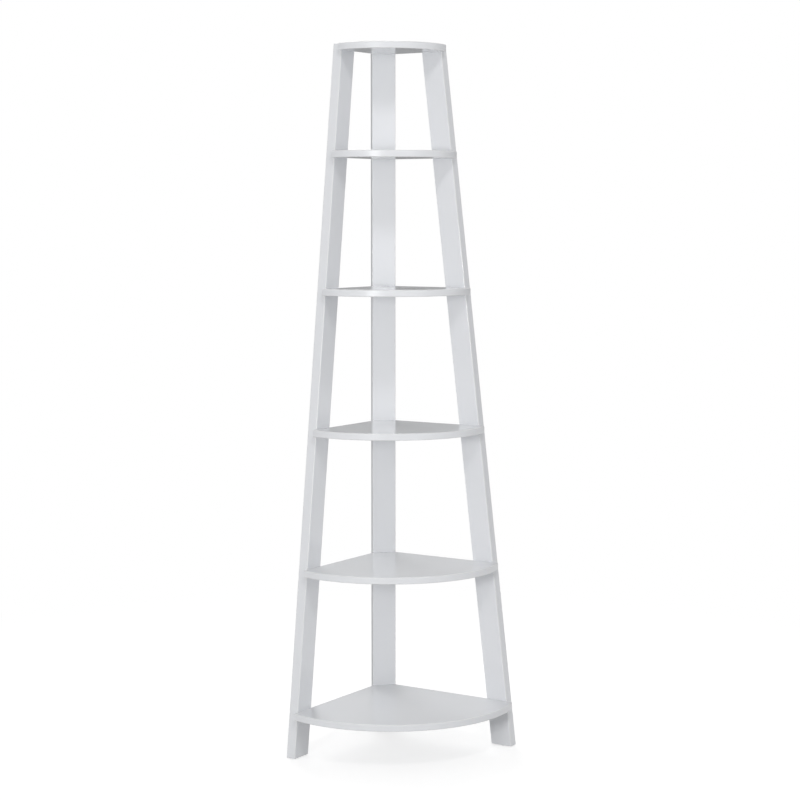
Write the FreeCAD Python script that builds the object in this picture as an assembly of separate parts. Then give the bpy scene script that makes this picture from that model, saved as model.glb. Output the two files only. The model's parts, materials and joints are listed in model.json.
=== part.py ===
import FreeCAD, Part
import math
import os

from FreeCAD import Placement, Rotation, Vector

# Corner ladder shelf: six curved shelves between two leaning legs and a rear post.
# Millimetres, +Z up, the curved front towards -Y, the room corner towards +Y.
# The origin is on the floor, in the middle of the whole shelf's outline.

# Angle between the two walls that the legs stand against
room_corner_angle = 90.0

# Rear post, a flat board set across the corner
post_width = 57.0
post_thickness = 18.0

# Side legs, with the reach along the wall from where the shelf sides would meet
leg_width = 54.0
leg_thickness = 24.0
leg_reach_at_floor = 366.0
leg_reach_at_top = 166.0

# Eased edges of the uprights
upright_edge_radius = 2.0
upright_end_radius = 1.5

# Shelves from the floor up: the top of the bottom one, then the rise to each next top
shelf_thickness = 16.0
bottom_shelf_top = 110.0
second_shelf_rise = 328.0
third_shelf_rise = 322.0
fourth_shelf_rise = 324.0
fifth_shelf_rise = 318.0
top_shelf_rise = 248.0

# The front corners stand past the legs by the nose, and the front is one arc
shelf_nose = 16.0
front_bulge_share = 0.415
shelf_front_corner_radius = 4.0
shelf_rear_corner_radius = 2.5
shelf_edge_radius = 2.0

# Connector screws, driven from the wall side through an upright into a shelf edge
screw_head_diameter = 10.0
screw_head_height = 4.0
screw_neck_diameter = 7.0
screw_neck_length = 10.0
screw_thread_diameter = 5.0
screw_length = 50.0
screw_tip_length = 4.0
screw_socket_across_flats = 4.0
screw_socket_depth = 2.5

# Plastic caps that fill the counterbores flush with the wall side
cap_thickness = 2.0
cap_plug_length = 2.0

# Wooden dowels beside the screws
dowel_diameter = 8.0
dowel_length = 30.0
dowel_chamfer = 1.0
dowel_depth_in_leg = 12.0
dowel_depth_in_post = 9.0

# Spacing of the fixings across the uprights
leg_fixing_spacing = 26.0
post_dowel_spacing = 34.0

# Push-in glides under the three feet
glide_flange_diameter = 14.0
glide_flange_height = 2.0
glide_edge_radius = 0.6
glide_stem_diameter = 5.0
glide_stem_length = 14.0

# Fits, cuts and the search for edges
hole_clearance = 0.2
hole_end_clearance = 1.0
cut_overrun = 5.0
match_tolerance = 0.001

# Heights of the shelves' top surfaces
second_shelf_top = bottom_shelf_top + second_shelf_rise
third_shelf_top = second_shelf_top + third_shelf_rise
fourth_shelf_top = third_shelf_top + fourth_shelf_rise
fifth_shelf_top = fourth_shelf_top + fifth_shelf_rise
overall_height = fifth_shelf_top + top_shelf_rise
shelf_tops = {
    "bottom_shelf": bottom_shelf_top,
    "second_shelf": second_shelf_top,
    "third_shelf": third_shelf_top,
    "fourth_shelf": fourth_shelf_top,
    "fifth_shelf": fifth_shelf_top,
    "top_shelf": overall_height,
}

# Directions and places that follow from the sizes
up = Vector(0, 0, 1)
forward = Vector(0, -1, 0)
side_signs = {"left": -1, "right": 1}
hexagon_sides = 6
half_corner = math.radians(room_corner_angle / 2)
leg_lean = (leg_reach_at_floor - leg_reach_at_top) / overall_height
corner_setback = post_width / 2 / math.tan(half_corner)
counterbore_depth = screw_head_height + cap_thickness


def leg_reach(height):
    """Distance along the wall from the corner to a leg's front edge at a height."""
    return leg_reach_at_floor - leg_lean * height


def shelf_side(top):
    """Length of a shelf's straight side, from where its two sides would meet."""
    return leg_reach(top) + shelf_nose


def shelf_reach(side_length):
    """Distance from the corner, along the middle, to the foremost point of a shelf."""
    return side_length * (math.cos(half_corner) + front_bulge_share)


# The bottom shelf's front and the post's back set the depth that is centred on the origin
overall_depth = shelf_reach(shelf_side(bottom_shelf_top)) - corner_setback + post_thickness
post_front = overall_depth / 2 - post_thickness
corner = Vector(0, post_front + corner_setback, 0)


def along_wall(side):
    """Unit vector from the corner along one wall towards the room."""
    return Vector(side * math.sin(half_corner), -math.cos(half_corner), 0)


def towards_wall(side):
    """Unit vector square to one wall, from the shelf towards the wall."""
    return Vector(side * math.cos(half_corner), math.sin(half_corner), 0)


def edges_in_direction(shape, direction):
    """Straight edges of a shape that run along a direction."""
    unit = Vector(direction).normalize()
    found = []
    for edge in shape.Edges:
        run = edge.Vertexes[-1].Point - edge.Vertexes[0].Point
        if run.Length > 0 and math.isclose(abs(run.normalize().dot(unit)), 1):
            found.append(edge)
    return found


def edges_at_height(shape, height):
    """Edges of a shape that lie flat at one height."""
    found = []
    for edge in shape.Edges:
        low = edge.BoundBox.ZMin
        high = edge.BoundBox.ZMax
        if max(abs(low - height), abs(high - height)) < match_tolerance:
            found.append(edge)
    return found


def corner_edge(shape, spot):
    """The upright edge of a shape that stands nearest to a spot in plan."""
    def plan_distance(edge):
        return edge.Vertexes[0].Point.distanceToLine(spot, up)
    return min(edges_in_direction(shape, up), key=plan_distance)


def ease_upright(board, run, foot):
    """Round an upright's long edges, then the edges of its foot and top."""
    board = board.makeFillet(upright_edge_radius, edges_in_direction(board, run))
    ends = edges_at_height(board, foot) + edges_at_height(board, overall_height)
    return board.makeFillet(upright_end_radius, ends)


def leg_blank(side):
    """Leaning board: its plan rectangle is carried up and back along the wall."""
    foot = glide_flange_height
    rise = overall_height - foot
    along = along_wall(side)
    across = towards_wall(side) * leg_thickness
    rear = corner + along * (leg_reach(foot) - leg_width) + up * foot
    front = rear + along * leg_width
    outline = Part.makePolygon([rear, front, front + across, rear + across, rear])
    run = up * rise - along * (leg_lean * rise)
    return ease_upright(Part.Face(outline).extrude(run), run, foot)


def post_blank():
    """Upright board across the corner, its broad face against the shelves."""
    foot = glide_flange_height
    low_corner = Vector(-post_width / 2, post_front, foot)
    board = Part.makeBox(post_width, post_thickness, overall_height - foot, low_corner)
    return ease_upright(board, up, foot)


def shelf_blank(top):
    """Two sides on the walls, a rear edge as wide as the post and an arc for the front."""
    side_length = shelf_side(top)
    under = up * (top - shelf_thickness)
    rear_left = Vector(-post_width / 2, post_front, 0) + under
    rear_right = Vector(post_width / 2, post_front, 0) + under
    front_left = corner + along_wall(side_signs["left"]) * side_length + under
    front_right = corner + along_wall(side_signs["right"]) * side_length + under
    foremost = corner + forward * shelf_reach(side_length) + under
    outline = Part.Wire([
        Part.LineSegment(front_left, rear_left).toShape(),
        Part.LineSegment(rear_left, rear_right).toShape(),
        Part.LineSegment(rear_right, front_right).toShape(),
        Part.Arc(front_right, foremost, front_left).toShape(),
    ])
    board = Part.Face(outline).extrude(up * shelf_thickness)
    rear_corners = [corner_edge(board, rear_left), corner_edge(board, rear_right)]
    board = board.makeFillet(shelf_rear_corner_radius, rear_corners)
    front_corners = [corner_edge(board, front_left), corner_edge(board, front_right)]
    board = board.makeFillet(shelf_front_corner_radius, front_corners)
    rims = edges_at_height(board, top - shelf_thickness) + edges_at_height(board, top)
    return board.makeFillet(shelf_edge_radius, rims)


# Fixings are drawn on a local Z axis: zero is the joint face and +Z runs into the shelf


def rod(diameter, start, end):
    """Cylinder on the local Z axis between two places."""
    return Part.makeCylinder(diameter / 2, end - start, up * start, up)


def bore(diameter, start, end):
    """Cutter for a hole that clears a rod of a diameter."""
    return rod(diameter + 2 * hole_clearance, start, end)


def hexagon(across_flats, start, end):
    """Hexagonal prism on the local Z axis between two places."""
    step = 360 / hexagon_sides
    spoke = Vector(across_flats / 2 / math.cos(math.pi / hexagon_sides), 0, start)
    corners = [Rotation(up, turn * step).multVec(spoke) for turn in range(hexagon_sides)]
    outline = Part.makePolygon(corners + corners[:1])
    return Part.Face(outline).extrude(up * (end - start))


def screw_seat(upright_thickness):
    """Place of the underside of a screw's head inside an upright."""
    return counterbore_depth - upright_thickness


def screw(upright_thickness):
    """Connector screw with a flat head, a hexagon socket, a thick neck and a pointed tip."""
    seat = screw_seat(upright_thickness)
    head_top = seat - screw_head_height
    neck_end = seat + screw_neck_length
    tip_end = seat + screw_length
    tip_start = tip_end - screw_tip_length
    head = rod(screw_head_diameter, head_top, seat)
    neck = rod(screw_neck_diameter, seat, neck_end)
    thread = rod(screw_thread_diameter, neck_end, tip_start)
    tip = Part.makeCone(screw_thread_diameter / 2, 0, screw_tip_length, up * tip_start, up)
    socket = hexagon(screw_socket_across_flats, head_top, head_top + screw_socket_depth)
    return head.fuse([neck, thread, tip]).removeSplitter().cut(socket)


def screw_cap(upright_thickness):
    """Flush cap on a screw's head, with a plug that presses into the socket."""
    outside = -upright_thickness
    inside = outside + cap_thickness
    disc = rod(screw_head_diameter, outside, inside)
    plug = hexagon(screw_socket_across_flats - 2 * hole_clearance, inside, inside + cap_plug_length)
    return disc.fuse(plug).removeSplitter()


def screw_hole_in_upright(upright_thickness):
    """Counterbore for head and cap, then a clear hole for neck and thread."""
    seat = screw_seat(upright_thickness)
    counterbore = bore(screw_head_diameter, -upright_thickness - cut_overrun, seat)
    clear_hole = bore(screw_neck_diameter, -upright_thickness, cut_overrun)
    return counterbore.fuse(clear_hole)


def screw_hole_in_shelf(upright_thickness):
    """Pilot hole in a shelf's edge."""
    end = screw_seat(upright_thickness) + screw_length + hole_end_clearance
    return bore(screw_thread_diameter, -cut_overrun, end)


def dowel(depth_in_upright):
    """Straight dowel with chamfered ends."""
    pin = rod(dowel_diameter, -depth_in_upright, dowel_length - depth_in_upright)
    rims = [edge for edge in pin.Edges if edge.Closed]
    return pin.makeChamfer(dowel_chamfer, rims)


def dowel_hole_in_upright(depth_in_upright):
    """Blind hole in an upright's shelf side."""
    return bore(dowel_diameter, -depth_in_upright - hole_end_clearance, cut_overrun)


def dowel_hole_in_shelf(depth_in_upright):
    """Blind hole in a shelf's edge."""
    return bore(dowel_diameter, -cut_overrun, dowel_length - depth_in_upright + hole_end_clearance)


def glide():
    """Floor glide: a low flange with a rounded rim and a stem that pushes into the foot."""
    flange = rod(glide_flange_diameter, 0, glide_flange_height)
    flange = flange.makeFillet(glide_edge_radius, edges_at_height(flange, 0))
    stem = rod(glide_stem_diameter, glide_flange_height, glide_flange_height + glide_stem_length)
    return flange.fuse(stem).removeSplitter()


def glide_hole():
    """Blind hole in a foot for a glide's stem."""
    return bore(glide_stem_diameter, 0, glide_flange_height + glide_stem_length + hole_end_clearance)


def placed(shape, placement):
    """Copy of a shape, moved from its local axis to its place."""
    copy = shape.copy()
    copy.Placement = placement
    return copy


def leg_fixing(side, top, offset):
    """Place on a leg's shelf side, at mid thickness of a shelf, looking into the shelf."""
    middle = top - shelf_thickness / 2
    reach = leg_reach(middle) - leg_width / 2 + offset
    spot = corner + along_wall(side) * reach + up * middle
    return Placement(spot, Rotation(up, towards_wall(side) * -1))


def post_fixing(top, offset):
    """Place on the post's shelf side, at mid thickness of a shelf, looking into the shelf."""
    spot = Vector(offset, post_front, top - shelf_thickness / 2)
    return Placement(spot, Rotation(up, forward))


def leg_joints(side):
    """The screw and dowel places of a leg, by shelf."""
    joints = {}
    for shelf, top in shelf_tops.items():
        screws = [leg_fixing(side, top, leg_fixing_spacing / 2)]
        dowels = [leg_fixing(side, top, -leg_fixing_spacing / 2)]
        joints[shelf] = (screws, dowels)
    return joints


def post_joints():
    """The screw and dowel places of the rear post, by shelf."""
    joints = {}
    for shelf, top in shelf_tops.items():
        screws = [post_fixing(top, 0)]
        dowels = [post_fixing(top, offset) for offset in (-post_dowel_spacing / 2, post_dowel_spacing / 2)]
        joints[shelf] = (screws, dowels)
    return joints


def leg_foot(side):
    """Place on the floor below the middle of a leg's foot."""
    reach = leg_reach(glide_flange_height) - leg_width / 2
    spot = corner + along_wall(side) * reach + towards_wall(side) * (leg_thickness / 2)
    return Placement(spot, Rotation())


def post_foot():
    """Place on the floor below the middle of the rear post's foot."""
    return Placement(Vector(0, post_front + post_thickness / 2, 0), Rotation())


def save(name, shape):
    """Write one node's solids."""
    shape.exportStep(os.path.join("parts", name + ".step"))


def build_upright(name, blank, thickness, dowel_depth, joints, foot):
    """Drill and save one upright with its fixings, and return the drills of each shelf."""
    drills = [placed(glide_hole(), foot)]
    shelf_drills = {}
    screws = []
    caps = []
    dowels = []
    for shelf, (screw_places, dowel_places) in joints.items():
        shelf_drills[shelf] = []
        for place in screw_places:
            screws.append(placed(screw(thickness), place))
            caps.append(placed(screw_cap(thickness), place))
            drills.append(placed(screw_hole_in_upright(thickness), place))
            shelf_drills[shelf].append(placed(screw_hole_in_shelf(thickness), place))
        for place in dowel_places:
            dowels.append(placed(dowel(dowel_depth), place))
            drills.append(placed(dowel_hole_in_upright(dowel_depth), place))
            shelf_drills[shelf].append(placed(dowel_hole_in_shelf(dowel_depth), place))
    save(name, blank.cut(drills))
    save(name + "_screws", Part.makeCompound(screws))
    save(name + "_screw_caps", Part.makeCompound(caps))
    save(name + "_dowels", Part.makeCompound(dowels))
    return shelf_drills


def main():
    """Build the uprights with their fixings and glides, then the shelves that they carry."""
    os.makedirs("parts", exist_ok=True)
    drill_sets = []
    for word, side in side_signs.items():
        foot = leg_foot(side)
        drill_sets.append(build_upright(
            word + "_leg", leg_blank(side), leg_thickness, dowel_depth_in_leg, leg_joints(side), foot
        ))
        save(word + "_foot_glide", placed(glide(), foot))
    foot = post_foot()
    drill_sets.append(build_upright(
        "rear_post", post_blank(), post_thickness, dowel_depth_in_post, post_joints(), foot
    ))
    save("rear_foot_glide", placed(glide(), foot))
    for shelf, top in shelf_tops.items():
        drills = [drill for drill_set in drill_sets for drill in drill_set[shelf]]
        save(shelf, shelf_blank(top).cut(drills))


main()
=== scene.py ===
import json
import math

import bpy
import numpy as np
from bpy.props import FloatProperty, FloatVectorProperty, PointerProperty
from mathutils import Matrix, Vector


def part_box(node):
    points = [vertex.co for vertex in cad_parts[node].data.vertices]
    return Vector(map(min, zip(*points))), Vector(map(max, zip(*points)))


# A corner ladder shelf in its real finishes. Every board, screw, cap, dowel and glide keeps its
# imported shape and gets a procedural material, and the shelf stands in a plain white studio.
# Metres, +Z up, the curved front towards -Y.

bl_info = {
    "name": "Corner ladder shelf",
    "version": (1, 0, 0),
    "blender": (4, 5, 0),
    "location": "3D View > Sidebar > Corner shelf",
    "description": "Finishes a white lacquered corner ladder shelf and stands it in a plain studio",
    "category": "Object",
}

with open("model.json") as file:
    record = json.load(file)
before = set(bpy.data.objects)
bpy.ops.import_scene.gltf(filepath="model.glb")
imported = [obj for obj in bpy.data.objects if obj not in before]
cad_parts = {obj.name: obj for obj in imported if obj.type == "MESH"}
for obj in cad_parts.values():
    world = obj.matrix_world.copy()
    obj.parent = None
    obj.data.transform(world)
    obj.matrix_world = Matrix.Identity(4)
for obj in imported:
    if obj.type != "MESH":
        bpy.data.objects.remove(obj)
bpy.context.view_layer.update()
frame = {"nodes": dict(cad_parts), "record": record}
mounts = {mount["name"]: mount for mount in frame["record"]["mounts"]}

MM = 0.001
WHITE = (1.0, 1.0, 1.0)

# The way that the broad faces of each board look; the hardware of an upright runs the same way
FACE_OF_SHELF = Vector(mounts["top_shelf_face"]["axis"])
FACE_OF_UPRIGHT = {
    "left_leg": Vector(mounts["left_wall_face"]["axis"]),
    "right_leg": Vector(mounts["right_wall_face"]["axis"]),
    "rear_post": Vector((0, 1, 0)),
}

# How far a point's surface looks along the broad face, from one on the face to nought on a cut
# edge: where the edge's finish starts and is complete, and the same for an arris, half turned
EDGE_TURN = (0.9, 0.2)
HALF_TURN = 0.5
ARRIS_TURN = (0.1, HALF_TURN)
ARRIS_SHARE = 0.6

# The values of a noise between which nearly all of it lies, and those that show as spots
NOISE_RANGE = (0.3, 0.7)
SPOT_RANGE = (0.45, 0.7)

# Roughness where a noise is low and where it is high
ZINC_ROUGHNESS = (0.18, 0.42)
BEECH_ROUGHNESS = (0.72, 0.58)
CAP_ROUGHNESS = (0.38, 0.55)
GLIDE_ROUGHNESS = (0.35, 0.6)

LACQUER_IOR = 1.5
BEECH_IOR = 1.5
POLYPROPYLENE_IOR = 1.49
POLYETHYLENE_IOR = 1.51
CAP_SCATTER_SHARE = 0.1

# Where each softbox stands, in degrees: round from the front towards the right, and up
SOFTBOX_PLACES = {
    "key": (-32, 6),
    "fill": (20, 6),
    "front": (0, 45),
    "rear": (180, 35),
    "back": (180, 8),
}
# The shares of the floor's radius between which it fades into the background
FLOOR_FADE = (0.25, 0.9)
BACKDROP_STEPS = 49
CLOTH_LIFT = 2 * MM
SENSOR_WIDTH_MM = 36.0


def linear_colour(code):
    """Linear red, green and blue of an sRGB hex code, by the curve of that standard."""
    stored = np.array([int(code[place:place + 2], 16) for place in (1, 3, 5)]) / 255
    linear = np.where(stored <= 0.04045, stored / 12.92, ((stored + 0.055) / 1.055) ** 2.4)
    return tuple(linear.tolist())


def colour_setting(name, description, code):
    """A colour that a user may change."""
    return FloatVectorProperty(
        name=name, description=description, subtype="COLOR", min=0, max=1,
        default=linear_colour(code),
    )


def length_setting(name, description, metres):
    """A length that a user may change."""
    return FloatProperty(
        name=name, description=description, unit="LENGTH", precision=5, default=metres,
    )


def share_setting(name, description, share):
    """A share between nought and one that a user may change."""
    return FloatProperty(
        name=name, description=description, subtype="FACTOR", min=0, max=1, default=share,
    )


def power_setting(name, description, watts):
    """A lamp's power that a user may change."""
    return FloatProperty(name=name, description=description, unit="POWER", min=0, default=watts)


def angle_setting(name, description, degrees):
    """An angle that a user may change."""
    return FloatProperty(
        name=name, description=description, subtype="ANGLE", default=math.radians(degrees),
    )


class LacquerFinish(bpy.types.PropertyGroup):
    """White lacquer of the legs, the post and the shelves"""

    colour: colour_setting("Lacquer", "Lacquer at its full film", "#e5e6e9")
    thin_colour: colour_setting("Thin lacquer", "Lacquer where the film is thinner", "#e0e2e5")
    arris_colour: colour_setting("Arris", "Lacquer drawn thin over the rounded arrises", "#e2e1de")
    roughness: share_setting("Roughness", "Roughness of the broad faces", 0.11)
    roughness_spread: share_setting("Spread", "How much that roughness wanders", 0.02)
    edge_roughness: share_setting("Edge roughness", "Roughness of the cut edges", 0.3)
    cloud_size: length_setting("Clouds", "Width of the patches of thinner film", 140 * MM)
    peel_size: length_setting("Orange peel", "Width of the ripples that spraying leaves", 9 * MM)
    peel_depth: length_setting("Peel depth", "Depth of those ripples", 0.008 * MM)
    fibre_size: length_setting("Fibres", "Width of the raised fibres in the cut edges", 2.5 * MM)


class HardwareFinish(bpy.types.PropertyGroup):
    """Screws, caps, dowels and glides"""

    zinc_colour: colour_setting("Zinc", "Zinc plating of the screws", "#c3c7cb")
    zinc_cloud: length_setting("Zinc clouds", "Width of the cloudy patches in the plating", 4 * MM)
    thread_pitch: length_setting("Thread pitch", "Distance between the screws' threads", 3 * MM)
    thread_depth: length_setting("Thread depth", "Depth of the screws' threads", 0.6 * MM)
    beech_colour: colour_setting("Beech", "Pale wood of the dowels", "#d9b78f")
    fleck_colour: colour_setting("Beech fleck", "Darker rays in the dowels", "#b58a5f")
    ray_length: length_setting("Ray length", "Length of those rays", 5 * MM)
    ray_width: length_setting("Ray width", "Width of those rays", 0.6 * MM)
    ray_depth: length_setting("Ray depth", "How uneven the rays leave the wood", 0.08 * MM)
    cap_colour: colour_setting("Caps", "Moulded caps over the screws", "#e4e5e5")
    cap_grain: length_setting("Cap grain", "Width of the grain on the caps", 0.5 * MM)
    cap_grain_depth: length_setting("Cap grain depth", "Depth of that grain", 0.03 * MM)
    cap_scatter: length_setting("Cap scatter", "How far light wanders in the caps", 1 * MM)
    glide_colour: colour_setting("Glides", "Moulded floor glides", "#d6d8d9")
    scuff_colour: colour_setting("Scuffs", "Floor dirt rubbed into the glides", "#aaaba9")
    scuff_size: length_setting("Scuff size", "Width of the scuffs", 3 * MM)
    scuff_depth: length_setting("Scuff depth", "Depth of the scuffs", 0.05 * MM)


class StudioStage(bpy.types.PropertyGroup):
    """Camera, lamps, backdrop, cloth and floor"""

    view_yaw: angle_setting("Yaw", "How far left of the front the camera stands", 12.071)
    view_pitch: angle_setting("Pitch", "How far the camera looks down", 5.392)
    view_distance: length_setting("Distance", "From the camera to the shelf's middle line", 4.579)
    aim_height: length_setting("Aim", "Height on the middle line that the camera aims at", 0.8262)
    lens: FloatProperty(name="Lens", description="Focal length", unit="CAMERA", default=88.78)
    room_light: share_setting("Room", "Even light from all sides of the white room", 0.515)
    key_power: power_setting("Key", "Small softbox at the front left, at the camera's height", 45)
    fill_power: power_setting("Fill", "Softbox at the front right, at the camera's height", 14)
    front_power: power_setting("Front", "Small softbox high in front", 29)
    rear_power: power_setting("Rear", "Softbox high behind", 48)
    back_power: power_setting("Back", "Softbox behind, at the camera's height", 22)
    softbox_side: length_setting("Softbox side", "Side of the large softboxes", 2.0)
    small_side: length_setting("Small side", "Side of the two small softboxes", 0.6)
    softbox_distance: length_setting("Softbox distance", "From the softboxes to the shelf", 4.2)
    backdrop_radius: length_setting("Backdrop", "From the shelf to the backdrop behind", 10.0)
    backdrop_height: length_setting("Backdrop height", "Height of that backdrop", 4.0)
    backdrop_light: share_setting("Backdrop low", "How light its lower part is", 0.23)
    backdrop_top_light: share_setting("Backdrop high", "How light its upper part is", 0.63)
    backdrop_fade_from: length_setting("Fade from", "Where it starts to grow lighter", 1.8)
    backdrop_fade_to: length_setting("Fade to", "Where it is as light as it gets", 2.25)
    cloth_colour: colour_setting("Cloth", "Dark cloth that the post's side mirrors", "#18181a")
    cloth_width: length_setting("Cloth width", "Width of that cloth", 0.5)
    cloth_near: length_setting("Cloth near", "From the post to the cloth's end on the floor", 0.4)
    cloth_far: length_setting("Cloth far", "From the post to where the cloth hangs", 1.0)
    cloth_height: length_setting("Cloth height", "Height that the cloth hangs from", 2.2)
    floor_colour: colour_setting("Floor", "Pale studio floor", "#d4d4d4")
    floor_radius: length_setting("Floor radius", "From the middle to the floor's sides", 2.2)
    floor_glow: share_setting("Floor white", "Share of its white that takes no shadow", 0.65)
    floor_shade: share_setting("Floor shade", "How strongly it shows light and shadow", 0.48)


def add_node(tree, kind, inputs=None, **settings):
    """Add a node. Each input, by its identifier, is a socket to link or a constant to set."""
    node = tree.nodes.new(kind)
    for name, value in settings.items():
        setattr(node, name, value)
    sockets = {socket.identifier: socket for socket in node.inputs}
    for identifier, value in (inputs or {}).items():
        if isinstance(value, bpy.types.NodeSocket):
            tree.links.new(value, sockets[identifier])
        else:
            sockets[identifier].default_value = value
    return node


def opaque(colour):
    """A colour with the alpha that a shader's socket asks for."""
    return (*colour, 1.0)


def new_material(name):
    """A node material with nothing in it, and its node tree."""
    material = bpy.data.materials.new(name)
    material.use_nodes = True
    material.node_tree.nodes.clear()
    return material, material.node_tree


def show(tree, shader, kind="ShaderNodeOutputMaterial"):
    """Make a shader node the surface that a tree shows."""
    add_node(tree, kind, {"Surface": shader.outputs[0]})


def dress(names, material):
    """Put a material on CAD nodes, in the slots that they have."""
    for name in names:
        for material_slot in frame["nodes"][name].material_slots:
            material_slot.material = material


def lacquer(look, name, broad_face):
    """Satin lacquer, sprayed on fibreboard.

    It gives the eye a cool, even white with a soft sheen. The film is thinner in slow clouds and
    over the arrises, its reflections ripple with orange peel, and the cut edges stay rougher and
    fibrous.
    """
    material, tree = new_material(name)
    coordinates = add_node(tree, "ShaderNodeTexCoord")
    place = coordinates.outputs["Object"]
    along_face = add_node(tree, "ShaderNodeVectorMath", {
        "Vector": coordinates.outputs["Normal"], "Vector_001": broad_face,
    }, operation="DOT_PRODUCT")
    facing = add_node(tree, "ShaderNodeMath", {
        "Value": along_face.outputs["Value"],
    }, operation="ABSOLUTE")
    edge_start, edge_end = EDGE_TURN
    edge = add_node(tree, "ShaderNodeMapRange", {
        "Value": facing.outputs[0], "From Min": edge_start, "From Max": edge_end,
    }, interpolation_type="SMOOTHSTEP")
    half_turned = add_node(tree, "ShaderNodeMath", {
        "Value": facing.outputs[0], "Value_001": HALF_TURN,
    }, operation="PINGPONG")
    arris_start, arris_end = ARRIS_TURN
    arris = add_node(tree, "ShaderNodeMapRange", {
        "Value": half_turned.outputs[0], "From Min": arris_start, "From Max": arris_end,
        "To Max": ARRIS_SHARE,
    }, interpolation_type="SMOOTHSTEP")

    clouds = add_node(tree, "ShaderNodeTexNoise", {
        "Vector": place, "Scale": 1 / look.cloud_size, "Detail": 1.0,
    })
    film = add_node(tree, "ShaderNodeMix", {
        "Factor_Float": clouds.outputs["Fac"],
        "A_Color": opaque(look.colour), "B_Color": opaque(look.thin_colour),
    }, data_type="RGBA")
    colour = add_node(tree, "ShaderNodeMix", {
        "Factor_Float": arris.outputs[0],
        "A_Color": film.outputs["Result"], "B_Color": opaque(look.arris_colour),
    }, data_type="RGBA")
    cloud_low, cloud_high = NOISE_RANGE
    face_roughness = add_node(tree, "ShaderNodeMapRange", {
        "Value": clouds.outputs["Fac"], "From Min": cloud_low, "From Max": cloud_high,
        "To Min": look.roughness - look.roughness_spread,
        "To Max": look.roughness + look.roughness_spread,
    })
    roughness = add_node(tree, "ShaderNodeMapRange", {
        "Value": edge.outputs[0],
        "To Min": face_roughness.outputs[0], "To Max": look.edge_roughness,
    })
    # Real orange peel is 2 mm wide and the fibres are 0.1 mm; they are drawn wider so that they show
    peel = add_node(tree, "ShaderNodeTexNoise", {
        "Vector": place, "Scale": 1 / look.peel_size, "Detail": 1.0,
    })
    fibres = add_node(tree, "ShaderNodeTexNoise", {
        "Vector": place, "Scale": 1 / look.fibre_size, "Detail": 2.0,
    })
    height = add_node(tree, "ShaderNodeMath", {
        "Value": edge.outputs[0], "Value_001": fibres.outputs["Fac"],
        "Value_002": peel.outputs["Fac"],
    }, operation="MULTIPLY_ADD")
    bump = add_node(tree, "ShaderNodeBump", {
        "Height": height.outputs[0], "Distance": look.peel_depth,
    })
    show(tree, add_node(tree, "ShaderNodeBsdfPrincipled", {
        "Base Color": colour.outputs["Result"], "Roughness": roughness.outputs[0],
        "IOR": LACQUER_IOR, "Normal": bump.outputs[0],
    }))
    return material


def zinc_plating(look, name, axis):
    """Bright zinc plating on rolled steel screws.

    It gives the eye a cool grey metal with a cloudy gloss, ringed by the thread along the shank.
    """
    material, tree = new_material(name)
    place = add_node(tree, "ShaderNodeTexCoord").outputs["Object"]
    along = add_node(tree, "ShaderNodeVectorMath", {
        "Vector": place, "Vector_001": axis,
    }, operation="DOT_PRODUCT")
    turn = add_node(tree, "ShaderNodeMath", {
        "Value": along.outputs["Value"], "Value_001": math.tau / look.thread_pitch,
    }, operation="MULTIPLY")
    thread = add_node(tree, "ShaderNodeMath", {"Value": turn.outputs[0]}, operation="SINE")
    clouds = add_node(tree, "ShaderNodeTexNoise", {
        "Vector": place, "Scale": 1 / look.zinc_cloud, "Detail": 3.0,
    })
    bright, dull = ZINC_ROUGHNESS
    roughness = add_node(tree, "ShaderNodeMapRange", {
        "Value": clouds.outputs["Fac"], "To Min": bright, "To Max": dull,
    })
    bump = add_node(tree, "ShaderNodeBump", {
        "Height": thread.outputs[0], "Distance": look.thread_depth / 2,
    })
    show(tree, add_node(tree, "ShaderNodeBsdfPrincipled", {
        "Base Color": opaque(look.zinc_colour), "Metallic": 1.0,
        "Roughness": roughness.outputs[0], "Normal": bump.outputs[0],
    }))
    return material


def beech(look, name, axis):
    """Beech, turned and fluted into dowels.

    It gives the eye a pale pinkish tan with short darker flecks along the grain and a dry surface.
    """
    material, tree = new_material(name)
    place = add_node(tree, "ShaderNodeTexCoord").outputs["Object"]
    # Beech rays are 0.1 mm fine; they are drawn wider so that they show
    grain = add_node(tree, "ShaderNodeMapping", {
        "Vector": place, "Rotation": (0, 0, math.atan2(axis.y, axis.x)),
        "Scale": (look.ray_length, look.ray_width, look.ray_width),
    }, vector_type="TEXTURE")
    flecks = add_node(tree, "ShaderNodeTexNoise", {
        "Vector": grain.outputs[0], "Scale": 1.0, "Detail": 2.0,
    })
    faint, strong = SPOT_RANGE
    rays = add_node(tree, "ShaderNodeMapRange", {
        "Value": flecks.outputs["Fac"], "From Min": faint, "From Max": strong,
    })
    colour = add_node(tree, "ShaderNodeMix", {
        "Factor_Float": rays.outputs[0],
        "A_Color": opaque(look.beech_colour), "B_Color": opaque(look.fleck_colour),
    }, data_type="RGBA")
    between_rays, on_rays = BEECH_ROUGHNESS
    roughness = add_node(tree, "ShaderNodeMapRange", {
        "Value": rays.outputs[0], "To Min": between_rays, "To Max": on_rays,
    })
    bump = add_node(tree, "ShaderNodeBump", {
        "Height": flecks.outputs["Fac"], "Distance": look.ray_depth,
    })
    show(tree, add_node(tree, "ShaderNodeBsdfPrincipled", {
        "Base Color": colour.outputs["Result"], "Roughness": roughness.outputs[0],
        "IOR": BEECH_IOR, "Normal": bump.outputs[0],
    }))
    return material


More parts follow.
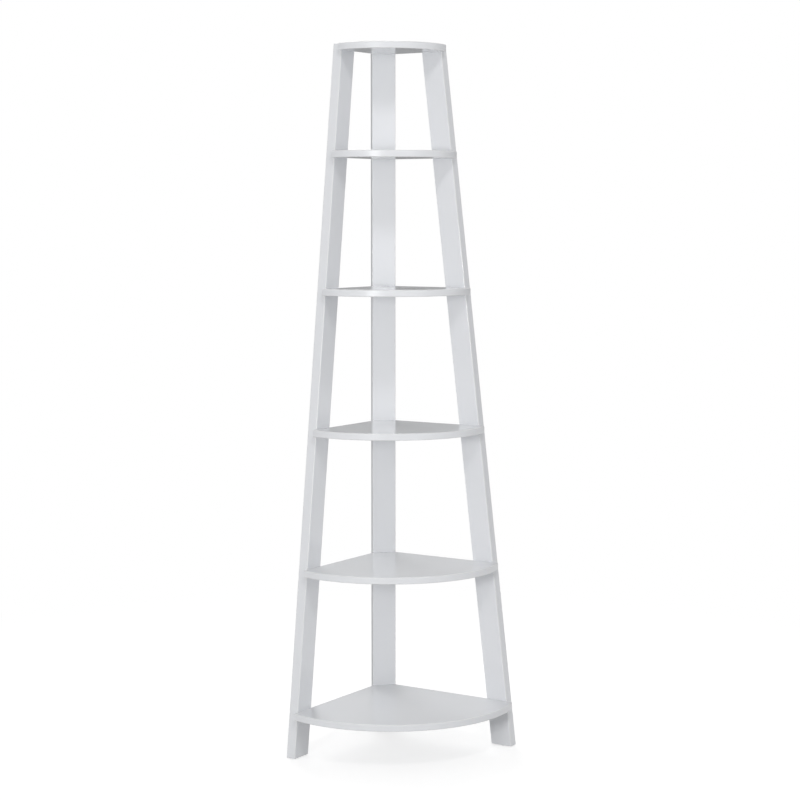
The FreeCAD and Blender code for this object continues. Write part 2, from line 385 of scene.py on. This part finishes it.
def moulded_polypropylene(look, name):
    """Polypropylene caps, moulded in a spark-eroded tool.

    It gives the eye a milky white with a fine grain that breaks up its dull shine.
    """
    material, tree = new_material(name)
    place = add_node(tree, "ShaderNodeTexCoord").outputs["Object"]
    # The tool's pits are 0.1 mm wide; the grain is drawn coarser so that it shows
    grain = add_node(tree, "ShaderNodeTexNoise", {
        "Vector": place, "Scale": 1 / look.cap_grain, "Detail": 2.0,
    })
    smooth, dull = CAP_ROUGHNESS
    roughness = add_node(tree, "ShaderNodeMapRange", {
        "Value": grain.outputs["Fac"], "To Min": smooth, "To Max": dull,
    })
    bump = add_node(tree, "ShaderNodeBump", {
        "Height": grain.outputs["Fac"], "Distance": look.cap_grain_depth,
    })
    show(tree, add_node(tree, "ShaderNodeBsdfPrincipled", {
        "Base Color": opaque(look.cap_colour), "Roughness": roughness.outputs[0],
        "IOR": POLYPROPYLENE_IOR, "Subsurface Weight": CAP_SCATTER_SHARE,
        "Subsurface Radius": (look.cap_scatter,) * 3, "Normal": bump.outputs[0],
    }))
    return material


def moulded_polyethylene(look, name):
    """Polyethylene glides, moulded smooth and rubbed by the floor.

    It gives the eye a pale waxy grey, with duller, darker scuffs.
    """
    material, tree = new_material(name)
    place = add_node(tree, "ShaderNodeTexCoord").outputs["Object"]
    scuffs = add_node(tree, "ShaderNodeTexNoise", {
        "Vector": place, "Scale": 1 / look.scuff_size, "Detail": 4.0,
    })
    faint, strong = SPOT_RANGE
    rubbed = add_node(tree, "ShaderNodeMapRange", {
        "Value": scuffs.outputs["Fac"], "From Min": faint, "From Max": strong,
    })
    colour = add_node(tree, "ShaderNodeMix", {
        "Factor_Float": rubbed.outputs[0],
        "A_Color": opaque(look.glide_colour), "B_Color": opaque(look.scuff_colour),
    }, data_type="RGBA")
    smooth, scuffed = GLIDE_ROUGHNESS
    roughness = add_node(tree, "ShaderNodeMapRange", {
        "Value": rubbed.outputs[0], "To Min": smooth, "To Max": scuffed,
    })
    bump = add_node(tree, "ShaderNodeBump", {
        "Height": scuffs.outputs["Fac"], "Distance": look.scuff_depth,
    })
    show(tree, add_node(tree, "ShaderNodeBsdfPrincipled", {
        "Base Color": colour.outputs["Result"], "Roughness": roughness.outputs[0],
        "IOR": POLYETHYLENE_IOR, "Normal": bump.outputs[0],
    }))
    return material


def seen_directly(tree):
    """Light Path: one for the camera, and for mirror images and what shows through glass."""
    rays = add_node(tree, "ShaderNodeLightPath").outputs
    mirrored = add_node(tree, "ShaderNodeMath", {
        "Value": rays["Is Camera Ray"], "Value_001": rays["Is Glossy Ray"],
    }, operation="MAXIMUM")
    return add_node(tree, "ShaderNodeMath", {
        "Value": mirrored.outputs[0], "Value_001": rays["Is Transmission Ray"],
    }, operation="MAXIMUM").outputs[0]


def stage_sheet(name, points, material):
    """A sheet of the stage: a grid of points, joined to their neighbours by four-sided faces."""
    number = np.arange(points[..., 0].size).reshape(points.shape[:2])
    corners = [number[:-1, :-1], number[1:, :-1], number[1:, 1:], number[:-1, 1:]]
    faces = np.stack(corners, axis=-1)
    mesh = bpy.data.meshes.new(name)
    mesh.from_pydata(points.reshape(-1, 3).tolist(), [], faces.reshape(-1, 4).tolist())
    mesh.materials.append(material)
    sheet = bpy.data.objects.new(name, mesh)
    bpy.context.scene.collection.objects.link(sheet)
    return sheet


def studio_floor(stage):
    """A flat, square floor: its two parameters are the distances to the right and to the back."""
    side = np.array([-stage.floor_radius, stage.floor_radius])
    right, back = np.meshgrid(side, side, indexing="ij")
    points = np.stack([right, back, np.zeros_like(right)], axis=-1)
    stage_sheet("studio_floor", points, painted_floor(stage))


def painted_floor(stage):
    """Matt white floor paint.

    It gives the eye a white ground with a soft shadow round the feet, which fades into the
    background. Light that bounces off it meets plain paint, and from below it is clear.
    """
    material, tree = new_material("matt_floor_paint")
    place = add_node(tree, "ShaderNodeTexCoord").outputs["Object"]
    from_middle = add_node(tree, "ShaderNodeVectorMath", {"Vector": place}, operation="LENGTH")
    fade_start, fade_end = (share * stage.floor_radius for share in FLOOR_FADE)
    faded = add_node(tree, "ShaderNodeMapRange", {
        "Value": from_middle.outputs["Value"], "From Min": fade_start, "From Max": fade_end,
    }, interpolation_type="SMOOTHSTEP")
    paint = add_node(tree, "ShaderNodeBsdfDiffuse", {"Color": opaque(stage.floor_colour)})
    shaded = add_node(tree, "ShaderNodeBsdfDiffuse", {"Color": opaque((stage.floor_shade,) * 3)})
    glow = add_node(tree, "ShaderNodeEmission", {"Strength": stage.floor_glow})
    ground = add_node(tree, "ShaderNodeAddShader", {
        "Shader": shaded.outputs[0], "Shader_001": glow.outputs[0],
    })
    white = add_node(tree, "ShaderNodeEmission", {"Strength": 1.0})
    seen = add_node(tree, "ShaderNodeMixShader", {
        "Fac": faded.outputs[0], "Shader": ground.outputs[0], "Shader_001": white.outputs[0],
    })
    upper_side = add_node(tree, "ShaderNodeMixShader", {
        "Fac": seen_directly(tree), "Shader": paint.outputs[0], "Shader_001": seen.outputs[0],
    })
    clear = add_node(tree, "ShaderNodeBsdfTransparent")
    backfacing = add_node(tree, "ShaderNodeNewGeometry").outputs["Backfacing"]
    show(tree, add_node(tree, "ShaderNodeMixShader", {
        "Fac": backfacing, "Shader": upper_side.outputs[0], "Shader_001": clear.outputs[0],
    }))
    return material


def curved_backdrop(stage):
    """An upright sheet on half a circle behind the shelf.

    It is the radius times the sine and cosine of an angle, carried straight up. Only light and
    mirror images see it.
    """
    turn = np.linspace(-math.pi / 2, math.pi / 2, BACKDROP_STEPS)
    rise = np.array([0, stage.backdrop_height])
    angle, height = np.meshgrid(turn, rise, indexing="ij")
    right = stage.backdrop_radius * np.sin(angle)
    back = stage.backdrop_radius * np.cos(angle)
    points = np.stack([right, back, height], axis=-1)
    backdrop = stage_sheet("studio_backdrop", points, glowing_backdrop(stage))
    backdrop.visible_camera = False
    backdrop.visible_shadow = False


def glowing_backdrop(stage):
    """A grey backdrop that glows by itself, brighter towards its top: painted light for lamp-lit
    paper.

    It gives the eye the grey that the shelves mirror at a glancing angle, round the lighter
    uprights.
    """
    material, tree = new_material("glowing_grey_backdrop")
    place = add_node(tree, "ShaderNodeTexCoord").outputs["Object"]
    height = add_node(tree, "ShaderNodeSeparateXYZ", {"Vector": place}).outputs["Z"]
    # Painted light: the backdrop glows by itself, dimmer low down and brighter above the fade
    light = add_node(tree, "ShaderNodeMapRange", {
        "Value": height,
        "From Min": stage.backdrop_fade_from, "From Max": stage.backdrop_fade_to,
        "To Min": stage.backdrop_light, "To Max": stage.backdrop_top_light,
    }, interpolation_type="SMOOTHSTEP")
    show(tree, add_node(tree, "ShaderNodeEmission", {"Strength": light.outputs[0]}))
    return material


def hung_cloth(stage):
    """A strip of cloth: a profile that runs back along the floor and then up, carried across.

    It starts behind the post's left side, on the line that this side mirrors towards the camera.
    Only mirror images see it, and they give the white post its dark edge against the white ground.
    """
    low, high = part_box("rear_post")
    away = np.array([-math.sin(stage.view_yaw), math.cos(stage.view_yaw), 0])
    across = np.array([math.cos(stage.view_yaw), math.sin(stage.view_yaw), 0])
    start = np.array([low[0], high[1], CLOTH_LIFT])
    rise = np.array([0, 0, stage.cloth_height])
    profile = np.stack([
        start + stage.cloth_near * away,
        start + stage.cloth_far * away,
        start + stage.cloth_far * away + rise,
    ])
    sides = np.array([-stage.cloth_width / 2, stage.cloth_width / 2])
    points = profile[:, None, :] + sides[None, :, None] * across
    cloth = stage_sheet("dark_cloth", points, woven_cotton(stage))
    for rays in ("visible_camera", "visible_diffuse", "visible_shadow"):
        setattr(cloth, rays, False)


def woven_cotton(stage):
    """Black cotton cloth.

    It gives the eye a dull black, which shows only in the lacquer's mirror images.
    """
    material, tree = new_material("black_cotton_cloth")
    show(tree, add_node(tree, "ShaderNodeBsdfDiffuse", {"Color": opaque(stage.cloth_colour)}))
    return material


def white_room(stage):
    """A white room that lights the shelf evenly and shows as plain white."""
    world = bpy.data.worlds.new("white_room")
    world.use_nodes = True
    tree = world.node_tree
    tree.nodes.clear()
    light, white = (
        add_node(tree, "ShaderNodeBackground", {"Color": opaque(WHITE), "Strength": strength})
        for strength in (stage.room_light, 1.0)
    )
    show(tree, add_node(tree, "ShaderNodeMixShader", {
        "Fac": seen_directly(tree), "Shader": light.outputs[0], "Shader_001": white.outputs[0],
    }), "ShaderNodeOutputWorld")
    bpy.context.scene.world = world


def place_facing(thing, where, target):
    """Put a lamp or a camera somewhere and point it at a target."""
    thing.location = where
    thing.rotation_euler = (target - where).to_track_quat("-Z", "Y").to_euler()
    bpy.context.scene.collection.objects.link(thing)


def round_the_shelf(azimuth, elevation, distance, target):
    """The point at a distance from the target; azimuth goes from the front towards the right."""
    level = math.cos(elevation)
    outward = Vector((math.sin(azimuth) * level, -math.cos(azimuth) * level, math.sin(elevation)))
    return target + outward * distance


def add_softbox(stage, name, power, side):
    """A square softbox that the camera doesn't see, at its place round the shelf."""
    light = bpy.data.lights.new(name + "_softbox", "AREA")
    light.shape = "SQUARE"
    light.size = side
    light.energy = power
    lamp = bpy.data.objects.new(light.name, light)
    lamp.visible_camera = False
    target = Vector((0, 0, stage.aim_height))
    azimuth, elevation = (math.radians(angle) for angle in SOFTBOX_PLACES[name])
    where = round_the_shelf(azimuth, elevation, stage.softbox_distance, target)
    place_facing(lamp, where, target)
    return lamp


def add_camera(stage):
    """The camera, a little left of the front and above the middle, looking slightly down."""
    camera = bpy.data.objects.new("camera", bpy.data.cameras.new("camera"))
    camera.data.lens = stage.lens
    camera.data.sensor_width = SENSOR_WIDTH_MM
    aim = Vector((0, 0, stage.aim_height))
    where = round_the_shelf(-stage.view_yaw, stage.view_pitch, stage.view_distance, aim)
    place_facing(camera, where, aim)
    bpy.context.scene.camera = camera


class LacquerShelves(bpy.types.Operator):
    """Lacquer the six shelves"""

    bl_idname = "corner_shelf.lacquer_shelves"
    bl_label = "Lacquer shelves"

    def execute(self, context):
        shelves = [name for name in frame["nodes"] if name.endswith("_shelf")]
        look = context.scene.shelf_lacquer
        dress(shelves, lacquer(look, "satin_lacquer_on_shelf_board", FACE_OF_SHELF))
        return {"FINISHED"}


class LacquerLegs(bpy.types.Operator):
    """Lacquer the two leaning legs"""

    bl_idname = "corner_shelf.lacquer_legs"
    bl_label = "Lacquer legs"

    def execute(self, context):
        look = context.scene.shelf_lacquer
        for leg in ("left_leg", "right_leg"):
            dress([leg], lacquer(look, "satin_lacquer_on_" + leg, FACE_OF_UPRIGHT[leg]))
        return {"FINISHED"}


class LacquerPost(bpy.types.Operator):
    """Lacquer the upright rear post"""

    bl_idname = "corner_shelf.lacquer_post"
    bl_label = "Lacquer post"

    def execute(self, context):
        look = context.scene.shelf_lacquer
        post = "rear_post"
        dress([post], lacquer(look, "satin_lacquer_on_" + post, FACE_OF_UPRIGHT[post]))
        return {"FINISHED"}


class PlateScrews(bpy.types.Operator):
    """Zinc plate the connector screws"""

    bl_idname = "corner_shelf.plate_screws"
    bl_label = "Plate screws"

    def execute(self, context):
        look = context.scene.shelf_hardware
        for upright, axis in FACE_OF_UPRIGHT.items():
            dress([upright + "_screws"], zinc_plating(look, "zinc_plating_along_" + upright, axis))
        return {"FINISHED"}


class MouldCaps(bpy.types.Operator):
    """Mould the caps that cover the screw heads"""

    bl_idname = "corner_shelf.mould_caps"
    bl_label = "Mould caps"

    def execute(self, context):
        caps = [upright + "_screw_caps" for upright in FACE_OF_UPRIGHT]
        look = context.scene.shelf_hardware
        dress(caps, moulded_polypropylene(look, "moulded_polypropylene"))
        return {"FINISHED"}


class TurnDowels(bpy.types.Operator):
    """Turn the dowels from beech"""

    bl_idname = "corner_shelf.turn_dowels"
    bl_label = "Turn dowels"

    def execute(self, context):
        look = context.scene.shelf_hardware
        for upright, axis in FACE_OF_UPRIGHT.items():
            dress([upright + "_dowels"], beech(look, "beech_along_" + upright, axis))
        return {"FINISHED"}


class MouldGlides(bpy.types.Operator):
    """Mould the floor glides under the feet"""

    bl_idname = "corner_shelf.mould_glides"
    bl_label = "Mould glides"

    def execute(self, context):
        glides = [name for name in frame["nodes"] if name.endswith("_glide")]
        look = context.scene.shelf_hardware
        dress(glides, moulded_polyethylene(look, "moulded_polyethylene"))
        return {"FINISHED"}


class SetStage(bpy.types.Operator):
    """Set up the floor, backdrop, cloth, white room, softboxes and camera"""

    bl_idname = "corner_shelf.set_stage"
    bl_label = "Set stage"

    def execute(self, context):
        stage = context.scene.shelf_stage
        studio_floor(stage)
        curved_backdrop(stage)
        hung_cloth(stage)
        white_room(stage)
        add_softbox(stage, "key", stage.key_power, stage.small_side)
        add_softbox(stage, "fill", stage.fill_power, stage.softbox_side)
        add_softbox(stage, "front", stage.front_power, stage.small_side)
        add_softbox(stage, "rear", stage.rear_power, stage.softbox_side)
        back = add_softbox(stage, "back", stage.back_power, stage.softbox_side)
        # So low behind, the lamp would show in the shelves as a bright patch
        back.visible_glossy = False
        add_camera(stage)
        context.scene.view_settings.view_transform = "Standard"
        return {"FINISHED"}


class CornerShelfPanel(bpy.types.Panel):
    """The finishes and the stage of the corner shelf"""

    bl_idname = "VIEW3D_PT_corner_shelf"
    bl_label = "Corner shelf"
    bl_space_type = "VIEW_3D"
    bl_region_type = "UI"
    bl_category = "Corner shelf"

    def draw(self, context):
        for name, group in GROUPS.items():
            box = self.layout.box()
            for setting in group.__annotations__:
                box.prop(getattr(context.scene, name), setting)
        for operator in OPERATORS:
            self.layout.operator(operator.bl_idname)


GROUPS = {
    "shelf_lacquer": LacquerFinish,
    "shelf_hardware": HardwareFinish,
    "shelf_stage": StudioStage,
}
OPERATORS = (
    LacquerShelves, LacquerLegs, LacquerPost,
    PlateScrews, MouldCaps, TurnDowels, MouldGlides,
    SetStage,
)


def register():
    """Register the settings, the operators and the panel."""
    for name, group in GROUPS.items():
        bpy.utils.register_class(group)
        setattr(bpy.types.Scene, name, PointerProperty(type=group))
    for kind in (*OPERATORS, CornerShelfPanel):
        bpy.utils.register_class(kind)


def unregister():
    """Take the panel, the operators and the settings away again."""
    for kind in (CornerShelfPanel, *reversed(OPERATORS)):
        bpy.utils.unregister_class(kind)
    for name, group in GROUPS.items():
        delattr(bpy.types.Scene, name)
        bpy.utils.unregister_class(group)


def main():
    """Dress every piece and set the stage."""
    register()
    bpy.ops.corner_shelf.lacquer_shelves()
    bpy.ops.corner_shelf.lacquer_legs()
    bpy.ops.corner_shelf.lacquer_post()
    bpy.ops.corner_shelf.plate_screws()
    bpy.ops.corner_shelf.mould_caps()
    bpy.ops.corner_shelf.turn_dowels()
    bpy.ops.corner_shelf.mould_glides()
    bpy.ops.corner_shelf.set_stage()


if __name__ == "__main__":
    main()
